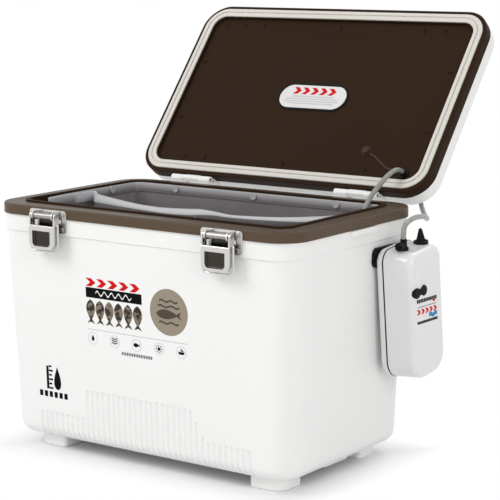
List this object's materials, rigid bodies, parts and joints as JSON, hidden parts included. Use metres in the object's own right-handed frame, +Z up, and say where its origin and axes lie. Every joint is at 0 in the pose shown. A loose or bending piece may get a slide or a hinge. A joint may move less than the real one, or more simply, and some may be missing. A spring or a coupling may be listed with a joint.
{
  "type": "aerated bait bucket",
  "caption": "Rectangular insulated live-bait cooler with hinged lid standing open, draw latches, inner net and a hanging battery air pump with its hose.",
  "frame": {"origin": "on the floor under the middle of the box", "axes": "+X along the length to the end with the pump, -Y to the front with the latches, +Z up"},
  "size_m": [0.4818, 0.4749, 0.511],
  "materials": {
    "white_plastic": "satin",
    "foam": "matte",
    "brown_plastic": "satin",
    "steel": "satin",
    "battery_metal": "satin",
    "black_plastic": "satin",
    "white_gloss": "gloss",
    "black_rubber": "matte",
    "grey_hose": "satin",
    "cream_seal": "satin",
    "grey_cloth": "matte",
    "stone_grit": "matte"
  },
  "bodies": {
    "box": {"outer_shell": "white_plastic", "insulation_foam": "foam", "inner_liner": "brown_plastic", "rim_trim": "brown_plastic", "corner_feet": "white_plastic", "side_pads": "white_plastic", "strap_lugs": "white_plastic", "hinge_box_leaves": "white_plastic", "hinge_pins": "steel", "hinge_box_screws": "steel", "latch_plates": "steel", "latch_screws": "steel", "latch_pins": "steel", "pump_bracket": "black_plastic", "bracket_screws": "steel", "pump_back_cover": "white_gloss", "pump_cover_screws": "steel", "pump_gasket": "black_rubber", "pump_front_shell": "white_gloss", "vent_plug": "black_rubber", "hose_barb": "black_plastic", "switch_nut": "black_plastic", "switch_body": "black_plastic", "battery_cells": "battery_metal", "battery_contacts": "steel", "pump_motor": "steel", "pump_diaphragm": "black_rubber", "pump_air_head": "black_plastic", "hose_outer": "grey_hose", "hose_inner": "grey_hose", "air_stone": "stone_grit", "bait_net": "grey_cloth", "net_hem": "grey_cloth", "net_studs": "white_plastic"},
    "lid": {"lid_liner": "brown_plastic", "lid_gasket": "cream_seal", "lid_cover": "white_plastic", "lid_foam": "foam", "badge_frame": "steel", "badge_plate": "steel", "air_port": "black_plastic", "port_stopper": "black_rubber", "stopper_strap": "black_rubber", "latch_keepers": "steel", "keeper_rivets": "steel", "hinge_lid_leaves": "white_plastic", "hinge_lid_screws": "steel"},
    "lever_left": {"latch_lever_left": "steel"},
    "lever_right": {"latch_lever_right": "steel"},
    "bail_left": {"latch_bail_left": "steel"},
    "bail_right": {"latch_bail_right": "steel"},
    "switch": {"switch_boot": "black_rubber"},
    "crank": {"pump_crank": "steel"},
    "knob": {"flow_knob": "black_plastic"}
  },
  "joints": [
    {"name": "lid_hinge", "type": "hinge", "parent": "box", "child": "lid", "pos_m": [0, 0.1377, 0.3004], "axis": [-1, 0, 0], "range_deg": [-129, 0], "deforming": ["hose_outer", "hose_inner"]},
    {"name": "latch_lever_left", "type": "hinge", "parent": "box", "child": "lever_left", "pos_m": [-0.125, -0.14, 0.2875], "axis": [1, 0, 0], "range_deg": [-150, 0]},
    {"name": "latch_lever_right", "type": "hinge", "parent": "box", "child": "lever_right", "pos_m": [0.125, -0.14, 0.2875], "axis": [1, 0, 0], "range_deg": [-150, 0]},
    {"name": "latch_bail_left", "type": "hinge", "parent": "lever_left", "child": "bail_left", "pos_m": [-0.125, -0.1402, 0.2782], "axis": [-1, 0, 0], "range_deg": [0, 190]},
    {"name": "latch_bail_right", "type": "hinge", "parent": "lever_right", "child": "bail_right", "pos_m": [0.125, -0.1402, 0.2782], "axis": [-1, 0, 0], "range_deg": [0, 190]},
    {"name": "switch_toggle", "type": "hinge", "parent": "box", "child": "switch", "pos_m": [0.243, 0.08777, 0.26126], "axis": [1, 0, 0], "range_deg": [-10, 10]},
    {"name": "flow_knob", "type": "hinge", "parent": "box", "child": "knob", "pos_m": [0.241, 0.05356, 0.26149], "axis": [0, -0.9945, -0.1045], "range_deg": [0, 90]},
    {"name": "pump_crank", "type": "hinge", "parent": "box", "child": "crank", "pos_m": [0.247, 0.06056, 0.1662], "axis": [1, 0, 0], "continuous": true}
  ]
}
